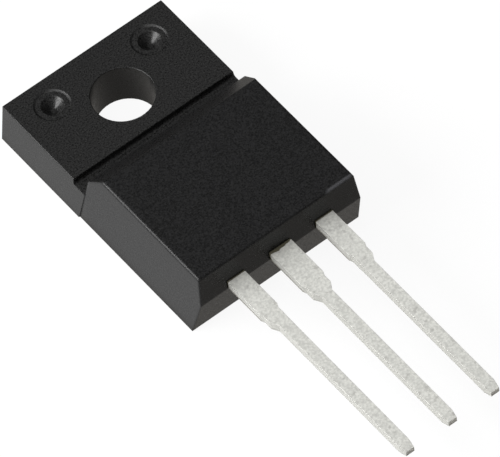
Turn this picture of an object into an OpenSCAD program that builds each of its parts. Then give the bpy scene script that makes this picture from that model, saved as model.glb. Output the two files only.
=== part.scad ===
// Fully moulded three-lead power transistor, lying on its back with the leads towards -Y.
// The origin is the centre of the mounting hole, on the back face. All lengths in millimetres.

/* [Moulded body] */
// Width of the tab across its back face
back_w = 10.2; // [9.9:0.05:10.5]
// Width of the front face of the body
front_w = 9.3; // [9.0:0.05:9.6]
// Length of the moulding, from the tab's end to the parting line where the leads come out
body_len = 15.87; // [15.4:0.05:16.4]
// Thickness of the body from back face to front face
body_t = 4.5; // [4.4:0.05:4.9]
// How far the back edge of the lead end lies behind the parting line
undercut = 0.74; // [0.5:0.02:0.9]
// How far the front edge of the lead end lies behind the parting line
front_set = 0.13; // [0.05:0.01:0.3]
// Radius on the edges of the front face
edge_r = 0.14; // [0.06:0.01:0.2]
// Radius on the edges of the tab and of the step up to the front face
small_r = 0.05; // [0.02:0.01:0.1]

/* [Mounting tab] */
// Thickness of the tab
tab_t = 2.54; // [2.4:0.02:2.7]
// Width of the tab across its front face
tab_front_w = 9.7; // [9.5:0.05:9.85]
// Length of the tab, from the end edge of its front face to the wall of the body
tab_len = 6.6; // [6.3:0.05:6.9]
// How far the end face leans out from the front edge to the back edge
end_lean = 0.17; // [0.05:0.01:0.25]
// Radius on the two upright corners of the tab's end
corner_r = 0.08; // [0.04:0.01:0.2]
// How far the tab's sides stand out from the sides of the body
side_step = 0.06; // [0.03:0.01:0.1]
// Diameter of the mounting hole
hole_d = 3.2; // [3.0:0.05:3.4]
// Width of the broken edge round the hole's mouth on the front face
hole_rim = 0.03; // [0.02:0.01:0.12]
// Distance of the hole's centre from the end edge of the tab's front face
hole_end = 3.3; // [3.1:0.05:3.5]
// Length of the relief groove at the foot of the body's wall
groove_len = 0.87; // [0.7:0.01:1.1]
// Depth of the relief groove
groove_depth = 0.4; // [0.3:0.01:0.5]
// Radius at the foot of the groove's steep side
groove_r = 0.16; // [0.05:0.01:0.25]

/* [Step up to the front face] */
// Lean of the wall between tab and body, in degrees from upright
wall_lean = 13.5; // [8:0.5:16]
// Length of the chamfer on top of that wall
chamfer_len = 1.15; // [0.8:0.05:1.3]
// Height of the chamfer on top of that wall
chamfer_h = 1.05; // [0.8:0.05:1.2]

/* [Pin marks] */
// Distance between the two pin marks beside the hole
mark_gap = 5.9; // [5.6:0.05:6.4]
// Distance of the pin marks from the end edge of the tab's front face
mark_end = 1.55; // [1.3:0.05:1.7]
// Diameter of the shallow ring round each pin mark
ring_d = 1.9; // [1.7:0.05:2.1]
// Width of the ring's sloping wall
ring_slope = 0.1; // [0.05:0.01:0.15]
// Depth of the shallow ring
ring_depth = 0.06; // [0.03:0.01:0.08]
// Diameter of the conical pit at its mouth
pit_d = 1.3; // [1.1:0.02:1.4]
// Diameter of the flat at the bottom of the pit
pit_floor_d = 0.3; // [0.2:0.05:0.5]
// Depth of the pit below the tab's front face
pit_depth = 0.48; // [0.35:0.01:0.52]

/* [Leads outside] */
// Distance between the centres of neighbouring leads
lead_pitch = 2.54; // [2.5:0.01:2.6]
// Thickness of the leads
lead_t = 0.5; // [0.45:0.01:0.55]
// Height of the leads' underside, and of the parting line, above the back face
lead_z = 2.6; // [2.5:0.02:2.75]
// Length of the leads from the parting line to their tips
lead_len = 13.05; // [10:0.05:14]
// Width of the narrow part of each lead
narrow_w = 0.62; // [0.55:0.01:0.7]
// Width of the shoulder of the centre lead
centre_shoulder_w = 1.28; // [1.2:0.02:1.45]
// How far the shoulder of an outer lead reaches outwards from the lead's middle
outward_reach = 0.62; // [0.55:0.01:0.7]
// How far the shoulder of an outer lead reaches inwards from the lead's middle
inward_reach = 0.41; // [0.4:0.01:0.5]
// Length of the shoulders, up to where the dam bar was cut away
shoulder_len = 2.5; // [2.2:0.05:3.0]
// How far the edge steps in where the dam bar was cut away
cut_inset = 0.09; // [0.04:0.01:0.09]
// Length of that slanting step
cut_len = 0.22; // [0.1:0.02:0.3]
// Length of the straight hip below the step
hip_len = 0.46; // [0.2:0.02:0.6]
// Length over which the hip narrows to the narrow part
taper_len = 0.42; // [0.3:0.02:0.6]
// Width of the flat at a lead's tip
tip_w = 0.48; // [0.3:0.02:0.54]
// Length over which a tip narrows
tip_len = 0.45; // [0.3:0.05:0.6]
// Depth of the bevel on the upper and lower edge of a tip
tip_bevel = 0.1; // [0.05:0.01:0.15]

/* [Lead frame inside] */
// Thickness of moulding behind the heat spreader
spreader_z = 0.6; // [0.5:0.02:0.65]
// Thickness of the heat spreader
spreader_t = 1.3; // [1.2:0.02:1.32]
// Width of the heat spreader
spreader_w = 7.6; // [7.2:0.1:8.0]
// Distance of the heat spreader's arms from the end edge of the tab's front face
arm_end = 0.9; // [0.75:0.05:1.0]
// Moulding left between the mounting hole and the heat spreader
hole_wall = 0.7; // [0.6:0.05:0.8]
// Radius on the corners of the heat spreader
spreader_r = 0.4; // [0.2:0.05:0.6]
// How far the leads run straight in before the bond posts and the centre lead's bend
root_len = 1.2; // [1.0:0.05:1.4]
// Angle of the bend that takes the centre lead down to the heat spreader, in degrees
bend_angle = 50; // [42:1:58]
// Inner radius of that bend
bend_r = 0.25; // [0.15:0.05:0.3]
// Length of the bond posts along the leads
post_len = 1.2; // [1.0:0.05:1.4]
// Gap between a bond post and the centre lead
post_gap = 0.6; // [0.5:0.05:0.8]
// How far a bond post reaches past the outer side of its lead
post_reach = 0.85; // [0.6:0.05:0.95]

/* [Chip and bond wires] */
// Width of the chip
die_w = 3.6; // [3.0:0.1:4.2]
// Length of the chip
die_len = 3.0; // [2.6:0.1:3.4]
// Thickness of the chip
die_t = 0.25; // [0.2:0.01:0.3]
// Distance of the chip from the lead end of the heat spreader
die_margin = 0.5; // [0.4:0.05:0.8]
// Thickness of the solder under the chip
solder_t = 0.06; // [0.04:0.01:0.08]
// How far the solder spreads past the chip
solder_rim = 0.12; // [0.05:0.01:0.2]
// Diameter of the base wire
base_wire_d = 0.15; // [0.12:0.01:0.2]
// Diameter of the two emitter wires
emitter_wire_d = 0.3; // [0.2:0.02:0.34]
// Distance between the two emitter wires
emitter_wire_gap = 0.9; // [0.7:0.05:1.0]
// Distance of the inner emitter wire's foot from the middle of the chip
emitter_pad_x = 0.35; // [0.2:0.05:0.5]
// Distance of the emitter wires' feet from the lead edge of the chip
emitter_pad_y = 0.9; // [0.7:0.05:1.4]
// Distance of the base wire's foot from two edges of the chip
base_pad = 0.5; // [0.35:0.05:0.6]
// Rise of the wire loops above the straight line between their ends
wire_rise = 0.75; // [0.6:0.05:0.85]

/* [Hidden] */
$fn = 64;

epoxy_colour = [0.14, 0.14, 0.15];
tin_colour = [0.8, 0.8, 0.78];
silicon_colour = [0.35, 0.37, 0.42];
solder_colour = [0.62, 0.62, 0.6];
wire_colour = [0.85, 0.84, 0.8];

// Steps in each rounded corner of an outline, and in the round end of the heat spreader's fork
corner_steps = 5;
fork_steps = 24;
// Length, width and thickness of a bond wire's welded foot, in wire diameters
foot_shape = [2.5, 1.3, 0.8];
// Length of a cutter past the face that it cuts
over = 1;

tab_edge_y = hole_end;
tab_back_y = tab_edge_y + end_lean;
parting_y = tab_back_y - body_len;
tip_y = parting_y - lead_len;
lead_top = lead_z + lead_t;
groove_z = tab_t - groove_depth;
wall_foot_y = tab_edge_y - tab_len;
chamfer_z = body_t - chamfer_h;
body_back_w = back_w - 2 * side_step;
spreader_top = spreader_z + spreader_t;
spreader_arm_y = tab_edge_y - arm_end;
root_y = parting_y + root_len;
post_end_y = root_y + post_len;
// The centre lead drops by this much between its flat and the top of the heat spreader
bend_drop = lead_top - spreader_top;
bend_run = bend_drop / tan(bend_angle);
// Room that the two curved bends take along the lead, past the slope itself
bend_room = 2 * (bend_r + lead_t) * tan(bend_angle / 2);
spreader_lead_y = root_y + bend_run + bend_room;
die_near_y = spreader_lead_y + die_margin;
die_z = spreader_top + solder_t;
die_top = die_z + die_t;
post_inner_x = centre_shoulder_w / 2 + post_gap;
post_outer_x = lead_pitch + outward_reach + post_reach;
post_mid_y = root_y + post_len / 2;

// Where the leaning wall between tab and body stands at height z
function wall_y(z) = wall_foot_y + (groove_z - z) * tan(wall_lean);

function unit(v) = v / norm(v);

// Points of one corner p, between its neighbours a and b, rounded to radius r
function corner(a, p, b, r) =
    r <= 0 ? [p] :
    let (u = unit(a - p), v = unit(b - p), half = acos(u * v) / 2,
         reach = r / tan(half), centre = p + unit(u + v) * r / sin(half),
         from = p + u * reach - centre, to = p + v * reach - centre,
         start = atan2(from[1], from[0]), turn = atan2(to[1], to[0]) - start,
         sweep = turn > 180 ? turn - 360 : turn < -180 ? turn + 360 : turn)
    [for (i = [0:corner_steps]) centre + r * [cos(start + sweep * i / corner_steps),
                                              sin(start + sweep * i / corner_steps)]];

// An outline given as [y, z, radius] or [x, y, radius] rows, with each corner rounded
function rounded(rows) =
    let (n = len(rows), p = [for (row = rows) [row[0], row[1]]])
    [for (i = [0:n - 1]) each corner(p[(i + n - 1) % n], p[i], p[(i + 1) % n], rows[i][2])];

// A side view, drawn as [y, z], made this wide across X
module across(width) {
    rotate([90, 0, 90]) linear_extrude(height = width, center = true) children();
}

// A cross-section, drawn as [x, z], made long enough for the whole moulding along Y
module along() {
    translate([0, tab_back_y + over, 0]) rotate([90, 0, 0])
        linear_extrude(height = body_len + 2 * over) children();
}

// Side view of the whole moulding: tab, relief groove, leaning wall, chamfer and undercut lead end
module side_profile() {
    groove_y = wall_foot_y + groove_len;
    polygon(rounded([
        [tab_back_y, 0, 0],
        [tab_edge_y, tab_t, small_r],
        [groove_y, tab_t, small_r],
        [groove_y, groove_z, groove_r],
        [wall_foot_y, groove_z, 0],
        [wall_y(chamfer_z), chamfer_z, small_r],
        [wall_y(chamfer_z) - chamfer_len, body_t, small_r],
        [parting_y + front_set, body_t, edge_r],
        [parting_y, lead_z, 0],
        [parting_y + undercut, 0, 0]]));
}

// Cross-section of the body, which widens towards its back face
module body_section() {
    slope = (body_back_w - front_w) / 2 / body_t;
    low_x = body_back_w / 2 + slope * over;
    polygon(rounded([
        [-low_x, -over, 0],
        [low_x, -over, 0],
        [front_w / 2, body_t, edge_r],
        [-front_w / 2, body_t, edge_r]]));
}

// Cross-section of the tab, standing a little outside the body's
module tab_section() {
    slope = (back_w - tab_front_w) / 2 / tab_t;
    low_x = back_w / 2 + slope * over;
    polygon(rounded([
        [-low_x, -over, 0],
        [low_x, -over, 0],
        [tab_front_w / 2, tab_t, small_r],
        [-tab_front_w / 2, tab_t, small_r]]));
}

// The tab's cross-section ends at the line of the leaning wall, carried on down to the back face
module outer_form() {
    intersection() {
        across(back_w + 2 * over) side_profile();
        union() {
            along() body_section();
            intersection() {
                along() tab_section();
                across(back_w + 4 * over) polygon([
                    [wall_y(-over), -over],
                    [tab_back_y + 2 * over, -over],
                    [tab_back_y + 2 * over, body_t],
                    [wall_foot_y + groove_len / 2, body_t],
                    [wall_foot_y, groove_z]]);
            }
        }
    }
}

// Rounds the upright corner at the right of the tab's end, along the line where its two faces meet
module corner_cutter() {
    foot = [back_w / 2, tab_back_y, 0];
    edge = [tab_front_w / 2, tab_edge_y, tab_t] - foot;
    arc = [for (i = [0:corner_steps]) let (turn = 90 * i / corner_steps)
        corner_r * [cos(turn) - 1, sin(turn) - 1]];
    start = arc[0] + unit(arc[0] - arc[1]) * over;
    end = arc[corner_steps] + unit(arc[corner_steps] - arc[corner_steps - 1]) * over;
    translate(foot) rotate([-asin(edge[1] / norm(edge)), atan2(edge[0], edge[2]), 0])
        translate([0, 0, -over]) linear_extrude(height = norm(edge) + 2 * over)
            polygon([start, each arc, end, [over, over]]);
}

module mounting_hole() {
    translate([0, 0, -over]) cylinder(h = tab_t + 2 * over, d = hole_d);
    translate([0, 0, tab_t - hole_rim])
        cylinder(h = 2 * hole_rim, d1 = hole_d, d2 = hole_d + 4 * hole_rim);
}

// Mark left by a hold-down pin of the mould: a shallow ring round a conical pit
module pin_mark(x) {
    translate([x, tab_edge_y - mark_end, tab_t]) {
        translate([0, 0, -ring_depth])
            cylinder(h = 2 * ring_depth, d1 = ring_d - 2 * ring_slope, d2 = ring_d + 2 * ring_slope);
        translate([0, 0, -pit_depth]) cylinder(h = pit_depth, d1 = pit_floor_d, d2 = pit_d);
    }
}

module molded_body() {
    color(epoxy_colour) difference() {
        outer_form();
        corner_cutter();
        mirror([1, 0, 0]) corner_cutter();
        mounting_hole();
        pin_mark(-mark_gap / 2);
        pin_mark(mark_gap / 2);
        frame_form();
        post_lead_form(-1);
        post_lead_form(1);
        solder_form();
        die_form();
        base_wire_form();
        emitter_wire_form(0);
        emitter_wire_form(emitter_wire_gap);
    }
}

// One edge of a lead in plan: the shoulder, the cut dam bar, the hip, the narrow part and the tip
function lead_edge(reach, inner_y) =
    let (cut_y = parting_y - shoulder_len, hip_y = cut_y - cut_len, taper_y = hip_y - hip_len)
    [[reach, inner_y],
     [reach, cut_y],
     [reach - cut_inset, hip_y],
     [reach - cut_inset, taper_y],
     [narrow_w / 2, taper_y - taper_len],
     [narrow_w / 2, tip_y + tip_len],
     [tip_w / 2, tip_y]];

// The stamped lead, with bevels above and below its tip
module lead_bar(left_reach, right_reach, inner_y) {
    left_edge = lead_edge(left_reach, inner_y);
    last = len(left_edge) - 1;
    bevel_y = tip_y + tip_len;
    intersection() {
        translate([0, 0, lead_z]) linear_extrude(height = lead_t) polygon([
            each lead_edge(right_reach, inner_y),
            for (i = [last:-1:0]) [-left_edge[i][0], left_edge[i][1]]]);
        across(left_reach + right_reach + 2 * over) polygon([
            [inner_y + over, lead_z - over],
            [bevel_y, lead_z - over],
            [bevel_y, lead_z],
            [tip_y, lead_z + tip_bevel],
            [tip_y, lead_top - tip_bevel],
            [bevel_y, lead_top],
            [bevel_y, lead_top + over],
            [inner_y + over, lead_top + over]]);
    }
}

// Outer lead with its bond post inside the body: side -1 is the base, side 1 the emitter
module post_lead_form(side) {
    left_reach = side < 0 ? outward_reach : inward_reach;
    right_reach = side < 0 ? inward_reach : outward_reach;
    post_w = post_outer_x - post_inner_x;
    post_x = side * (post_inner_x + post_outer_x) / 2;
    translate([side * lead_pitch, 0, 0]) lead_bar(left_reach, right_reach, post_mid_y);
    translate([post_x - post_w / 2, root_y, lead_z]) cube([post_w, post_len, lead_t]);
}

module base_lead() { color(tin_colour) post_lead_form(-1); }

module emitter_lead() { color(tin_colour) post_lead_form(1); }

// Bent strip, in side view, from the centre lead's flat down into the heat spreader
module bend_profile() {
    shift = lead_t * tan(bend_angle / 2);
    first_y = root_y + bend_room / 2;
    second_y = first_y + bend_run;
    inside_y = spreader_lead_y + lead_t;
    polygon(rounded([
        [parting_y, lead_top, 0],
        [first_y, lead_top, bend_r + lead_t],
        [second_y, spreader_top, bend_r],
        [inside_y, spreader_top, 0],
        [inside_y, spreader_top - lead_t, 0],
        [second_y - shift, spreader_top - lead_t, bend_r + lead_t],
        [first_y - shift, lead_z, bend_r],
        [parting_y, lead_z, 0]]));
}

// Heat spreader in plan: a plate under the chip, with two arms that pass the mounting hole
module spreader_plan() {
    fork_r = hole_d / 2 + hole_wall;
    fork = [for (i = [0:fork_steps]) fork_r * [-cos(180 * i / fork_steps), -sin(180 * i / fork_steps)]];
    difference() {
        polygon(rounded([
            [-spreader_w / 2, spreader_lead_y, spreader_r],
            [spreader_w / 2, spreader_lead_y, spreader_r],
            [spreader_w / 2, spreader_arm_y, spreader_r],
            [-spreader_w / 2, spreader_arm_y, spreader_r]]));
        polygon([[-fork_r, spreader_arm_y + over], each fork, [fork_r, spreader_arm_y + over]]);
    }
}

module frame_form() {
    lead_bar(centre_shoulder_w / 2, centre_shoulder_w / 2, parting_y + root_len / 2);
    across(centre_shoulder_w) bend_profile();
    translate([0, 0, spreader_z]) linear_extrude(height = spreader_t) spreader_plan();
}

module collector_lead_frame() { color(tin_colour) frame_form(); }

module solder_form() {
    translate([-die_w / 2 - solder_rim, die_near_y - solder_rim, spreader_top])
        cube([die_w + 2 * solder_rim, die_len + 2 * solder_rim, solder_t]);
}

module die_solder() { color(solder_colour) solder_form(); }

module die_form() {
    translate([-die_w / 2, die_near_y, die_z]) cube([die_w, die_len, die_t]);
}

module silicon_die() { color(silicon_colour) die_form(); }

// Bond wire of diameter d from the plan point a on the chip to the plan point b on a bond post:
// one circular loop in an upright plane, with a flattened foot under each end
module bond_wire(a, b, d) {
    r = d / 2;
    plan = b - a;
    heading = atan2(plan[1], plan[0]);
    low = [0, die_top + r];
    high = [norm(plan), lead_top + r];
    chord = high - low;
    half = norm(chord) / 2;
    loop_r = (half * half + wire_rise * wire_rise) / (2 * wire_rise);
    across_chord = [-chord[1], chord[0]] / norm(chord);
    centre = (low + high) / 2 - across_chord * (loop_r - wire_rise);
    to_high = high - centre;
    to_low = low - centre;
    start = atan2(to_high[1], to_high[0]);
    sweep = atan2(to_low[1], to_low[0]) - start;
    foot = foot_shape * d;
    translate([a[0], a[1], 0]) rotate([0, 0, heading]) {
        translate([centre[0], 0, centre[1]]) rotate([90, 0, 0]) rotate([0, 0, start])
            rotate_extrude(angle = sweep) translate([loop_r, 0]) circle(r = r);
        translate([-foot[0] / 2, -foot[1] / 2, die_top]) cube(foot);
        translate([high[0] - foot[0] / 2, -foot[1] / 2, lead_top]) cube(foot);
    }
}

module base_wire_form() {
    bond_wire([-die_w / 2 + base_pad, die_near_y + base_pad], [-lead_pitch, post_mid_y], base_wire_d);
}

// The two emitter wires run side by side, this far out from the middle of the chip
module emitter_wire_form(out) {
    bond_wire([emitter_pad_x + out, die_near_y + emitter_pad_y],
              [lead_pitch - emitter_wire_gap / 2 + out, post_mid_y], emitter_wire_d);
}

module base_wire() { color(wire_colour) base_wire_form(); }

module emitter_wire_inner() { color(wire_colour) emitter_wire_form(0); }

module emitter_wire_outer() { color(wire_colour) emitter_wire_form(emitter_wire_gap); }

molded_body();
collector_lead_frame();
base_lead();
emitter_lead();
silicon_die();
die_solder();
base_wire();
emitter_wire_inner();
emitter_wire_outer();
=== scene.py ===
import math

import bmesh
import bpy
from mathutils import Matrix, Vector


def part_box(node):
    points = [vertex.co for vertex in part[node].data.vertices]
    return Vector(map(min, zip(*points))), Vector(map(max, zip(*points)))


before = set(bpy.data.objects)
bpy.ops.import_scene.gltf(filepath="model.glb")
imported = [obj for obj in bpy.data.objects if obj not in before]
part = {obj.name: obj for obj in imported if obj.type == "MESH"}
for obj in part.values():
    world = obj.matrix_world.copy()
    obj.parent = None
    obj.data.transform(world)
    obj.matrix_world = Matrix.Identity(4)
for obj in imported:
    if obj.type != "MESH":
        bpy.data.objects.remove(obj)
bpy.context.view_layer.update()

# Moulded body: one moulding of black, glass-filled epoxy, pressed round the lead frame in a
# spark-eroded steel mould. Its faces carry the mould's fine matte grain, paler on the tab. In a few
# short places its front edge over the leads is worn, and there it carries a painted highlight.

EPOXY_BLACK = (0.0005, 0.0005, 0.0006, 1)
EPOXY_CHARCOAL = (0.0112, 0.0112, 0.0115, 1)
GLASS_SPECK = (0.030, 0.030, 0.029, 1)
TAB_BLACK = (0.0004, 0.0004, 0.0004, 1)
TAB_CHARCOAL = (0.0198, 0.0198, 0.0195, 1)
WORN_EDGE_GLINT = (0.060, 0.060, 0.064, 1)
MOULD_GRAIN_PER_M = 13000
FLOW_MARKS_PER_M = 420
GLASS_SPECK_SHARE = 0.16
GRAIN_DETAIL = 3.0
GRAIN_FINENESS = 0.62
PATCH_DETAIL = 4.0
SPECK_RISE = 0.5
NOISE_LOW = 0.36
NOISE_HIGH = 0.64
GRAIN_HEIGHT = 0.000007
GRAIN_SHARPNESS = 0.6
SMOOTH_EPOXY = 0.22
ROUGH_EPOXY = 0.44
EPOXY_IOR = 1.4
EPOXY_REFLECTION = 0.42
BODY_EDGE_RADIUS = 0.00016
TAB_EDGE_RADIUS = 0.00005
EDGE_SAMPLES = 6
TAB_START_Y = -0.0034
TAB_FADE = 0.0001
END_LEAN = 0.0002
WORN_GLINT_WIDTH = 0.0001
WORN_GLINT_DEPTH = 0.00015
WORN_GLINT_FULL_DEPTH = 0.00005
WORN_GLINT_FROM = 0.53
WORN_GLINT_FULL = 0.58
NODE_SPACING = 200
MIX_FIRST_COLOUR = 6
MIX_SECOND_COLOUR = 7
MIX_COLOUR_OUT = 2

body_low, body_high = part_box("molded_body")
front_face_z = body_high.z
front_end_y = body_low.y + END_LEAN


def node_at(tree, kind, x, y, **settings):
    """One shader node, placed at column x and row y of the node sheet."""
    node = tree.nodes.new(kind)
    node.location = (x * NODE_SPACING, -y * NODE_SPACING)
    for name, value in settings.items():
        setattr(node, name, value)
    return node


def surface_grain_group():
    """Grain, specks and soft patches that a moulded or plated surface shows."""
    group = bpy.data.node_groups.new("surface grain", "ShaderNodeTree")
    for name in ("Grain Per Metre", "Patches Per Metre", "Speck Share"):
        group.interface.new_socket(name, in_out="INPUT", socket_type="NodeSocketFloat")
    for name in ("Grain", "Specks", "Patches", "Height"):
        group.interface.new_socket(name, in_out="OUTPUT", socket_type="NodeSocketFloat")
    inputs = node_at(group, "NodeGroupInput", 0, 0)
    outputs = node_at(group, "NodeGroupOutput", 6, 0)
    place = node_at(group, "ShaderNodeTexCoord", 0, 2)
    grain = node_at(group, "ShaderNodeTexNoise", 2, 0)
    grain.inputs["Detail"].default_value = GRAIN_DETAIL
    grain.inputs["Roughness"].default_value = GRAIN_FINENESS
    patches = node_at(group, "ShaderNodeTexNoise", 2, 2)
    patches.inputs["Detail"].default_value = PATCH_DETAIL
    cells = node_at(group, "ShaderNodeTexVoronoi", 2, 4)
    speck_edge = node_at(group, "ShaderNodeMapRange", 4, 4)
    speck_edge.inputs["To Min"].default_value = 1.0
    speck_edge.inputs["To Max"].default_value = 0.0
    height = node_at(group, "ShaderNodeMath", 5, 2, operation="MULTIPLY_ADD")
    height.inputs[1].default_value = SPECK_RISE
    link = group.links.new
    for texture in (grain, patches, cells):
        link(place.outputs["Object"], texture.inputs["Vector"])
    link(inputs.outputs["Grain Per Metre"], grain.inputs["Scale"])
    link(inputs.outputs["Grain Per Metre"], cells.inputs["Scale"])
    link(inputs.outputs["Patches Per Metre"], patches.inputs["Scale"])
    link(cells.outputs["Distance"], speck_edge.inputs["Value"])
    link(inputs.outputs["Speck Share"], speck_edge.inputs["From Max"])
    link(speck_edge.outputs["Result"], height.inputs[0])
    link(grain.outputs["Fac"], height.inputs[2])
    link(grain.outputs["Fac"], outputs.inputs["Grain"])
    link(speck_edge.outputs["Result"], outputs.inputs["Specks"])
    link(patches.outputs["Fac"], outputs.inputs["Patches"])
    link(height.outputs["Value"], outputs.inputs["Height"])
    return group


surface_grain = surface_grain_group()


def cleared_tree(owner):
    """The emptied node sheet of a material or of the room."""
    owner.use_nodes = True
    owner.node_tree.nodes.clear()
    return owner.node_tree


def new_finish(name):
    """An empty material with its principled shader."""
    finish = bpy.data.materials.new(name)
    tree = cleared_tree(finish)
    shader = node_at(tree, "ShaderNodeBsdfPrincipled", 11, 0)
    output = node_at(tree, "ShaderNodeOutputMaterial", 13, 0)
    tree.links.new(shader.outputs["BSDF"], output.inputs["Surface"])
    return finish, tree, shader


def finish_pieces(finish, *names):
    """Gives the named CAD pieces this finish in place of their plain one."""
    for name in names:
        part[name].data.materials.clear()
        part[name].data.materials.append(finish)


def grain_in(tree, grain_per_m, patches_per_m, speck_share):
    """The shared grain, placed in one finish with its own scales."""
    node = node_at(tree, "ShaderNodeGroup", 0, 0, node_tree=surface_grain)
    node.inputs["Grain Per Metre"].default_value = grain_per_m
    node.inputs["Patches Per Metre"].default_value = patches_per_m
    node.inputs["Speck Share"].default_value = speck_share
    return node.outputs


def mixed(tree, x, y, mask, first, second):
    """Colour first where the mask is 0, second where it is 1."""
    mix = node_at(tree, "ShaderNodeMix", x, y, data_type="RGBA")
    tree.links.new(mask, mix.inputs["Factor"])
    for socket, colour in ((MIX_FIRST_COLOUR, first), (MIX_SECOND_COLOUR, second)):
        if isinstance(colour, tuple):
            mix.inputs[socket].default_value = colour
        else:
            tree.links.new(colour, mix.inputs[socket])
    return mix.outputs[MIX_COLOUR_OUT]


def ranged(tree, x, y, value, low, high, to_low=0.0, to_high=1.0):
    """A value between low and high, spread from to_low to to_high."""
    spread = node_at(tree, "ShaderNodeMapRange", x, y)
    spread.inputs["From Min"].default_value = low
    spread.inputs["From Max"].default_value = high
    spread.inputs["To Min"].default_value = to_low
    spread.inputs["To Max"].default_value = to_high
    tree.links.new(value, spread.inputs["Value"])
    return spread.outputs["Result"]


def noise_spread(tree, x, y, noise, to_low=0.0, to_high=1.0):
    """A noise, over the middle values that it mostly has, spread from to_low to to_high."""
    return ranged(tree, x, y, noise, NOISE_LOW, NOISE_HIGH, to_low, to_high)


def product(tree, x, y, first, second):
    """Two masks multiplied."""
    both = node_at(tree, "ShaderNodeMath", x, y, operation="MULTIPLY")
    tree.links.new(first, both.inputs[0])
    tree.links.new(second, both.inputs[1])
    return both.outputs["Value"]


def axes_of(tree, x, y, output):
    """The X, Y and Z of one of the Texture Coordinate node's outputs."""
    place = node_at(tree, "ShaderNodeTexCoord", x, y)
    apart = node_at(tree, "ShaderNodeSeparateXYZ", x + 1, y)
    tree.links.new(place.outputs[output], apart.inputs["Vector"])
    return apart.outputs


def relief(tree, shader, height, sharpness, depth, edge_radius):
    """Bump from a height, over edges that shade as if they were rounded."""
    soft_edge = node_at(tree, "ShaderNodeBevel", 8, 4, samples=EDGE_SAMPLES)
    if isinstance(edge_radius, float):
        soft_edge.inputs["Radius"].default_value = edge_radius
    else:
        tree.links.new(edge_radius, soft_edge.inputs["Radius"])
    bump = node_at(tree, "ShaderNodeBump", 9, 3)
    bump.inputs["Strength"].default_value = sharpness
    bump.inputs["Distance"].default_value = depth
    tree.links.new(height, bump.inputs["Height"])
    tree.links.new(soft_edge.outputs["Normal"], bump.inputs["Normal"])
    tree.links.new(bump.outputs["Normal"], shader.inputs["Normal"])


epoxy, tree, shader = new_finish("black epoxy moulding")
grain = grain_in(tree, MOULD_GRAIN_PER_M, FLOW_MARKS_PER_M, GLASS_SPECK_SHARE)
place = axes_of(tree, 0, 5, "Object")
on_tab = ranged(tree, 2, 5, place["Y"], TAB_START_Y, TAB_START_Y + TAB_FADE)
black = mixed(tree, 4, 0, on_tab, EPOXY_BLACK, TAB_BLACK)
charcoal = mixed(tree, 4, 1, on_tab, EPOXY_CHARCOAL, TAB_CHARCOAL)
resin = mixed(tree, 5, 0, noise_spread(tree, 2, 0, grain["Grain"]), black, charcoal)
speckled = mixed(tree, 6, 0, grain["Specks"], resin, GLASS_SPECK)
# Painted highlight: pale patches along the worn front edge over the leads.
at_end = ranged(tree, 2, 6, place["Y"], front_end_y + WORN_GLINT_WIDTH, front_end_y)
at_front = ranged(tree, 2, 7, place["Z"], front_face_z - WORN_GLINT_DEPTH, front_face_z - WORN_GLINT_FULL_DEPTH)
worn_glint_patches = ranged(tree, 2, 8, grain["Patches"], WORN_GLINT_FROM, WORN_GLINT_FULL)
worn_glint = product(tree, 5, 7, product(tree, 4, 7, at_end, at_front), worn_glint_patches)
tree.links.new(mixed(tree, 7, 0, worn_glint, speckled, WORN_EDGE_GLINT), shader.inputs["Base Color"])
roughness = noise_spread(tree, 4, 2, grain["Grain"], SMOOTH_EPOXY, ROUGH_EPOXY)
tree.links.new(roughness, shader.inputs["Roughness"])
shader.inputs["Specular IOR Level"].default_value = EPOXY_REFLECTION
shader.inputs["IOR"].default_value = EPOXY_IOR
edge_radius = ranged(tree, 5, 5, on_tab, 0.0, 1.0, BODY_EDGE_RADIUS, TAB_EDGE_RADIUS)
relief(tree, shader, grain["Height"], GRAIN_SHARPNESS, GRAIN_HEIGHT, edge_radius)
finish_pieces(epoxy, "molded_body")

# Leads: three strips of copper alloy, stamped in one frame, dipped in matte tin and cut apart at
# the dam bar and at the tips. The flat faces are pale and satin. The sheared sides are duller and
# carry painted shade, with a dark line along their bottom that is partly the torn zone and partly
# painted shade; the cut tips are bare metal darkened with painted shade. Near the moulding the tin
# carries a stain with painted shade, and some resin has bled onto the middle lead at its exit.

TIN_PALE = (0.682, 0.682, 0.646, 1)
TIN_GREY = (0.520, 0.520, 0.490, 1)
TIN_DENT = (0.42, 0.415, 0.39, 1)
SHEARED_AND_SHADED_TIN = (0.52, 0.52, 0.492, 1)
SHADED_SHEAR_BREAK = (0.30, 0.29, 0.265, 1)
BARE_CUT_AND_SHADE = (0.56, 0.55, 0.51, 1)
EXIT_STAIN_AND_SHADE = (0.33, 0.315, 0.265, 1)
RESIN_BLEED = (0.10, 0.092, 0.062, 1)
TIN_GRAIN_PER_M = 8500
TIN_PATCHES_PER_M = 2600
TIN_PIT_SHARE = 0.12
TIN_GRAIN_HEIGHT = 0.000004
TIN_GRAIN_SHARPNESS = 0.3
SMOOTH_TIN = 0.64
ROUGH_TIN = 0.78
TIN_METALLIC = 0.55
DENT_FROM = 0.60
DENT_FULL = 0.68
DENT_STRENGTH = 0.75
LEAD_EDGE_RADIUS = 0.00002
SHADED_BREAK_HEIGHT = 0.00008
SHADED_BREAK_FADE = 0.00008
SHADED_BREAK_PAST_SHOULDER = 0.15
TIP_SHADED_BREAK_HEIGHT = 0.0001
TIP_SHADED_BREAK_FADE = 0.0002
SHOULDER_LENGTH = 0.0025
SHOULDER_FADE = 0.0001
SIDE_NORMAL_Z = 0.4
FLAT_NORMAL_Z = 0.7
TIP_NORMAL_Y = -0.9
NOT_TIP_NORMAL_Y = -0.7
STAIN_AND_SHADE_LENGTH = 0.0007
STAIN_AND_SHADE_STRENGTH = 0.1
SHORTEST_BLEED = 0.00003
LONGEST_BLEED = 0.00020

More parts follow.
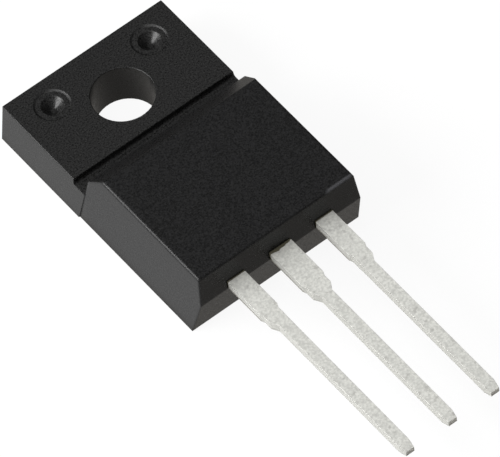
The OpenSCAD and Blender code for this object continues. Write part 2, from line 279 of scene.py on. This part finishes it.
exit_y = body_low.y
shoulder_end_y = exit_y - SHOULDER_LENGTH
lead_bottom_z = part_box("base_lead")[0].z
shaded_break_top_z = lead_bottom_z + SHADED_BREAK_HEIGHT
tip_shaded_break_top_z = lead_bottom_z + TIP_SHADED_BREAK_HEIGHT


def tinned(name, bleed_reach):
    """Tin plating, with resin bled this far along from where the lead leaves the moulding."""
    finish, tree, shader = new_finish(name)
    grain = grain_in(tree, TIN_GRAIN_PER_M, TIN_PATCHES_PER_M, TIN_PIT_SHARE)
    normal = axes_of(tree, 0, 3, "Normal")
    place = axes_of(tree, 0, 6, "Object")
    plated = mixed(tree, 3, 0, noise_spread(tree, 2, 0, grain["Grain"]), TIN_GREY, TIN_PALE)
    dents = ranged(tree, 2, 1, grain["Patches"], DENT_FROM, DENT_FULL, 0.0, DENT_STRENGTH)
    plated = mixed(tree, 4, 0, dents, plated, TIN_DENT)
    # Painted shade: a dark line along the bottom of the sheared sides and of the cut tips, partly the
    # torn zone of the cut.
    shaded_bottom = ranged(tree, 2, 7, place["Z"], shaded_break_top_z,
                       shaded_break_top_z + SHADED_BREAK_FADE, 1.0, 0.0)
    on_shoulder = ranged(tree, 2, 8, place["Y"], shoulder_end_y - SHOULDER_FADE, shoulder_end_y,
                         SHADED_BREAK_PAST_SHOULDER, 1.0)
    torn_and_shaded = product(tree, 3, 7, shaded_bottom, on_shoulder)
    sheared_and_shaded = mixed(tree, 4, 3, torn_and_shaded, SHEARED_AND_SHADED_TIN, SHADED_SHEAR_BREAK)
    tip_shaded_break = ranged(tree, 3, 8, place["Z"], tip_shaded_break_top_z,
                       tip_shaded_break_top_z + TIP_SHADED_BREAK_FADE, 1.0, 0.0)
    shaded_cut_end = mixed(tree, 4, 4, tip_shaded_break, BARE_CUT_AND_SHADE, SHADED_SHEAR_BREAK)
    # Painted shade: the sheared sides are coloured darker than the flat faces, partly for their duller
    # finish.
    upright = node_at(tree, "ShaderNodeMath", 2, 3, operation="ABSOLUTE")
    tree.links.new(normal["Z"], upright.inputs[0])
    on_shaded_side = ranged(tree, 3, 4, upright.outputs["Value"], SIDE_NORMAL_Z, FLAT_NORMAL_Z, 1.0, 0.0)
    plated = mixed(tree, 5, 0, on_shaded_side, plated, sheared_and_shaded)
    # Painted shade: the cut tip faces that look forward are darker, partly as bare cut metal.
    on_shaded_tip = ranged(tree, 3, 5, normal["Y"], TIP_NORMAL_Y, NOT_TIP_NORMAL_Y, 1.0, 0.0)
    plated = mixed(tree, 6, 0, on_shaded_tip, plated, shaded_cut_end)
    # Painted shade: the tin darkens and browns towards where it leaves the moulding, partly a stain.
    stained_and_shaded = ranged(tree, 3, 9, place["Y"], exit_y - STAIN_AND_SHADE_LENGTH, exit_y, 0.0, STAIN_AND_SHADE_STRENGTH)
    plated = mixed(tree, 7, 0, stained_and_shaded, plated, EXIT_STAIN_AND_SHADE)
    reach = noise_spread(tree, 3, 6, grain["Patches"], exit_y - SHORTEST_BLEED, exit_y - bleed_reach)
    bled = node_at(tree, "ShaderNodeMath", 4, 6, operation="GREATER_THAN")
    tree.links.new(place["Y"], bled.inputs[0])
    tree.links.new(reach, bled.inputs[1])
    plated = mixed(tree, 8, 0, bled.outputs["Value"], plated, RESIN_BLEED)
    tree.links.new(plated, shader.inputs["Base Color"])
    roughness = noise_spread(tree, 4, 2, grain["Grain"], SMOOTH_TIN, ROUGH_TIN)
    tree.links.new(roughness, shader.inputs["Roughness"])
    shader.inputs["Metallic"].default_value = TIN_METALLIC
    relief(tree, shader, grain["Height"], TIN_GRAIN_SHARPNESS, TIN_GRAIN_HEIGHT, LEAD_EDGE_RADIUS)
    return finish


finish_pieces(tinned("matte tin with resin bleed", LONGEST_BLEED), "collector_lead_frame")
finish_pieces(tinned("matte tin on copper", SHORTEST_BLEED), "base_lead", "emitter_lead")

# Chip, solder and bond wires: inside the moulding a silicon chip lies soldered to the heat
# spreader, and aluminium wires, welded by ultrasound, run from its two pads to the posts of the
# outer leads.

SILICON_GREY = (0.10, 0.11, 0.15, 1)
PAD_METAL = (0.30, 0.31, 0.33, 1)
PAD_FROM = 0.45
PAD_FULL = 0.55
SILICON_ROUGHNESS = 0.18
SOLDER_PALE = (0.46, 0.46, 0.45, 1)
SOLDER_DULL = (0.33, 0.33, 0.32, 1)
SMOOTH_SOLDER = 0.38
ROUGH_SOLDER = 0.57
WIRE_PALE = (0.78, 0.77, 0.74, 1)
WIRE_DRAWN = (0.62, 0.61, 0.59, 1)
SMOOTH_WIRE = 0.30
ROUGH_WIRE = 0.40

silicon, tree, shader = new_finish("silicon with metal pads")
grain = grain_in(tree, grain_per_m=6000, patches_per_m=2500, speck_share=0.05)
pads = ranged(tree, 2, 0, grain["Patches"], PAD_FROM, PAD_FULL)
tree.links.new(mixed(tree, 4, 0, pads, SILICON_GREY, PAD_METAL), shader.inputs["Base Color"])
shader.inputs["Roughness"].default_value = SILICON_ROUGHNESS
finish_pieces(silicon, "silicon_die")

solder, tree, shader = new_finish("soft solder")
grain = grain_in(tree, grain_per_m=4000, patches_per_m=1500, speck_share=0.08)
tree.links.new(mixed(tree, 4, 0, grain["Patches"], SOLDER_PALE, SOLDER_DULL), shader.inputs["Base Color"])
roughness = noise_spread(tree, 4, 2, grain["Grain"], SMOOTH_SOLDER, ROUGH_SOLDER)
tree.links.new(roughness, shader.inputs["Roughness"])
shader.inputs["Metallic"].default_value = 1.0
finish_pieces(solder, "die_solder")

wire, tree, shader = new_finish("drawn aluminium wire")
grain = grain_in(tree, grain_per_m=12000, patches_per_m=3000, speck_share=0.06)
tree.links.new(mixed(tree, 4, 0, grain["Grain"], WIRE_PALE, WIRE_DRAWN), shader.inputs["Base Color"])
roughness = noise_spread(tree, 4, 2, grain["Patches"], SMOOTH_WIRE, ROUGH_WIRE)
tree.links.new(roughness, shader.inputs["Roughness"])
shader.inputs["Metallic"].default_value = 1.0
finish_pieces(wire, "base_wire", "emitter_wire_inner", "emitter_wire_outer")

# Table: the part lies on its back on a wide sheet of white paper, which the camera sees white, with
# the part's shadow on it, and from below sees through. In reflections the sheet glows with a painted
# reflection: pale on the lamps' side of the part, and a dimmer, warmer painted shade on the other.

SHEET_SIZE = 6.0
SHEET_GAP = 0.00001
SHEET_WHITE = (0.90, 0.90, 0.90, 1)
FULL_WHITE = (1, 1, 1, 1)
PAINTED_SHADE_WARM = (1.0, 0.96, 0.90, 1)
GLOW_TO_CAMERA = 0.92
PAINTED_LIT_REFLECTION = 0.77
PAINTED_SHADE_REFLECTION = 0.40
PAINTED_SHADE_HALF_FADE = 0.0002

sheet_mesh = bmesh.new()
bmesh.ops.create_grid(sheet_mesh, x_segments=1, y_segments=1, size=SHEET_SIZE / 2)
bmesh.ops.translate(sheet_mesh, verts=sheet_mesh.verts, vec=(0, 0, -SHEET_GAP))
sheet_data = bpy.data.meshes.new("white_sheet")
sheet_mesh.to_mesh(sheet_data)
sheet_mesh.free()
sheet = bpy.data.objects.new("white_sheet", sheet_data)
bpy.context.scene.collection.objects.link(sheet)

paper = bpy.data.materials.new("white paper")
tree = cleared_tree(paper)
link = tree.links.new
place = axes_of(tree, 0, 4, "Object")
ray = node_at(tree, "ShaderNodeLightPath", 0, 2)
matte = node_at(tree, "ShaderNodeBsdfDiffuse", 4, 0)
matte.inputs["Color"].default_value = SHEET_WHITE
white = node_at(tree, "ShaderNodeEmission", 4, 1)
white.inputs["Color"].default_value = FULL_WHITE
# Painted reflection and shade: glossy rays see the sheet as a glow, dimmer and warmer right of the part's
# left side.
painted_reflection = node_at(tree, "ShaderNodeEmission", 4, 3)
painted_shade_side = ranged(tree, 2, 5, place["X"], body_low.x - PAINTED_SHADE_HALF_FADE, body_low.x + PAINTED_SHADE_HALF_FADE)
link(mixed(tree, 3, 5, painted_shade_side, FULL_WHITE, PAINTED_SHADE_WARM), painted_reflection.inputs["Color"])
strength = ranged(tree, 3, 4, painted_shade_side, 0.0, 1.0, PAINTED_LIT_REFLECTION, PAINTED_SHADE_REFLECTION)
link(strength, painted_reflection.inputs["Strength"])
seen_by_camera = node_at(tree, "ShaderNodeMath", 2, 2, operation="MULTIPLY")
seen_by_camera.inputs[1].default_value = GLOW_TO_CAMERA
seen_by_mirrors = node_at(tree, "ShaderNodeMath", 2, 3, operation="MAXIMUM")
to_camera = node_at(tree, "ShaderNodeMixShader", 5, 0)
to_mirrors = node_at(tree, "ShaderNodeMixShader", 6, 0)
sides = node_at(tree, "ShaderNodeNewGeometry", 6, 2)
clear = node_at(tree, "ShaderNodeBsdfTransparent", 6, 4)
from_below = node_at(tree, "ShaderNodeMixShader", 7, 0)
output = node_at(tree, "ShaderNodeOutputMaterial", 8, 0)
link(ray.outputs["Is Camera Ray"], seen_by_camera.inputs[0])
link(ray.outputs["Is Glossy Ray"], seen_by_mirrors.inputs[0])
link(ray.outputs["Is Transmission Ray"], seen_by_mirrors.inputs[1])
link(seen_by_camera.outputs["Value"], to_camera.inputs["Fac"])
link(matte.outputs["BSDF"], to_camera.inputs[1])
link(white.outputs["Emission"], to_camera.inputs[2])
link(seen_by_mirrors.outputs["Value"], to_mirrors.inputs["Fac"])
link(to_camera.outputs["Shader"], to_mirrors.inputs[1])
link(painted_reflection.outputs["Emission"], to_mirrors.inputs[2])
link(sides.outputs["Backfacing"], from_below.inputs["Fac"])
link(to_mirrors.outputs["Shader"], from_below.inputs[1])
link(clear.outputs["BSDF"], from_below.inputs[2])
link(from_below.outputs["Shader"], output.inputs["Surface"])
sheet_data.materials.append(paper)

# Studio: a dim room with a pale ceiling, which the camera sees white. A soft lamp and a narrow one
# stand low on the left, where they light the left sides and edges and glint in the pin marks. A
# wide one above evens out the light on the leads.

ROOM_WALLS = 0.08
ROOM_CEILING = 0.384
WALLS_END = 0.40
CEILING_START = 0.75

room = bpy.data.worlds.new("pale room")
bpy.context.scene.world = room
tree = cleared_tree(room)
direction = axes_of(tree, 0, 0, "Generated")
sky = node_at(tree, "ShaderNodeBackground", 4, 0)
sky.inputs["Color"].default_value = FULL_WHITE
output = node_at(tree, "ShaderNodeOutputWorld", 5, 0)
strength = ranged(tree, 2, 0, direction["Z"], WALLS_END, CEILING_START, ROOM_WALLS, ROOM_CEILING)
ray = node_at(tree, "ShaderNodeLightPath", 2, 2)
white_to_camera = node_at(tree, "ShaderNodeMath", 3, 0, operation="MAXIMUM")
link = tree.links.new
link(strength, white_to_camera.inputs[0])
link(ray.outputs["Is Camera Ray"], white_to_camera.inputs[1])
link(white_to_camera.outputs["Value"], sky.inputs["Strength"])
link(sky.outputs["Background"], output.inputs["Surface"])


def soft_lamp(name, azimuth, elevation, distance, width, brightness):
    """A square soft box that faces the part; azimuth counts from the front, towards the right."""
    az = math.radians(azimuth)
    el = math.radians(elevation)
    towards = Vector((math.sin(az) * math.cos(el), -math.cos(az) * math.cos(el), math.sin(el)))
    box = bpy.data.lights.new(name, "AREA")
    box.shape = "SQUARE"
    box.size = width
    box.energy = brightness * math.pi * width * width
    lamp = bpy.data.objects.new(name, box)
    aim = towards.to_track_quat("Z", "Y").to_matrix().to_4x4()
    lamp.matrix_world = Matrix.Translation(towards * distance) @ aim
    bpy.context.scene.collection.objects.link(lamp)


soft_lamp("soft lamp left", azimuth=-99, elevation=34, distance=0.45, width=0.235, brightness=12.6)
soft_lamp("narrow lamp left", azimuth=-128, elevation=28, distance=0.45, width=0.16, brightness=14)
soft_lamp("soft lamp above", azimuth=-70, elevation=70, distance=0.6, width=0.4, brightness=2.3)

# Camera: a long lens in front of the part, to its left and well above it, turned a little about
# its own axis, as the part was photographed.

AIM = Vector((-0.00004365, -0.00997904, 0.002))
AZIMUTH = math.radians(-31.28478)
ELEVATION = math.radians(54.37346)
ROLL = math.radians(-8.12841)
DISTANCE = 0.3796959
LENS_MM = 574.6956
SENSOR_MM = 36
NEAREST_SEEN = 0.01

right = Vector((math.cos(AZIMUTH), math.sin(AZIMUTH), 0))
ahead = Vector((-math.sin(AZIMUTH), math.cos(AZIMUTH), 0))
back = Vector((0, 0, math.sin(ELEVATION))) - ahead * math.cos(ELEVATION)
up = back.cross(right)
rolled_right = right * math.cos(ROLL) + up * math.sin(ROLL)
rolled_up = up * math.cos(ROLL) - right * math.sin(ROLL)
lens = bpy.data.cameras.new("camera")
lens.sensor_fit = "HORIZONTAL"
lens.sensor_width = SENSOR_MM
lens.lens = LENS_MM
lens.clip_start = NEAREST_SEEN
camera = bpy.data.objects.new("camera", lens)
turn = Matrix((rolled_right, rolled_up, back)).transposed().to_4x4()
camera.matrix_world = Matrix.Translation(AIM + back * DISTANCE) @ turn
bpy.context.scene.collection.objects.link(camera)
bpy.context.scene.camera = camera
bpy.context.scene.view_settings.view_transform = "Standard"
